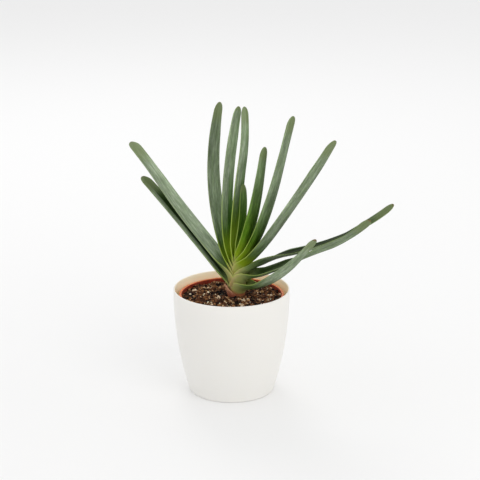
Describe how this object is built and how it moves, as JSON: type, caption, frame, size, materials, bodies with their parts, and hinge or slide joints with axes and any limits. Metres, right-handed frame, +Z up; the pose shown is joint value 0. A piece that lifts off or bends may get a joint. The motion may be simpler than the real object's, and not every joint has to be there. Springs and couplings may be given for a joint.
{
  "type": "potted fan aloe",
  "caption": "Young two-ranked succulent with long strap leaves fanning from a short stem, rooted in soil in a grow pot that stands in a tapered cover pot.",
  "frame": {"origin": "centre of the cover pot's flat underside", "axes": "+Z up, +X to the right in the picture, +Y away from the viewer"},
  "size_m": [0.2965, 0.2099, 0.3293],
  "materials": {
    "outer_pot": "satin",
    "nursery_pot": "satin",
    "soil": "matte",
    "stem": "matte",
    "leaf_old": "satin",
    "leaf_young": "satin"
  },
  "bodies": {
    "root": {"outer_pot": "outer_pot", "nursery_pot": "nursery_pot", "soil": "soil", "stem": "stem", "leaf_01": "leaf_old", "leaf_02": "leaf_old", "leaf_03": "leaf_old", "leaf_04": "leaf_old", "leaf_05": "leaf_old", "leaf_06": "leaf_old", "leaf_07": "leaf_old", "leaf_08": "leaf_old", "leaf_09": "leaf_old", "leaf_10": "leaf_old", "leaf_11": "leaf_young", "leaf_12": "leaf_young"}
  },
  "joints": []
}
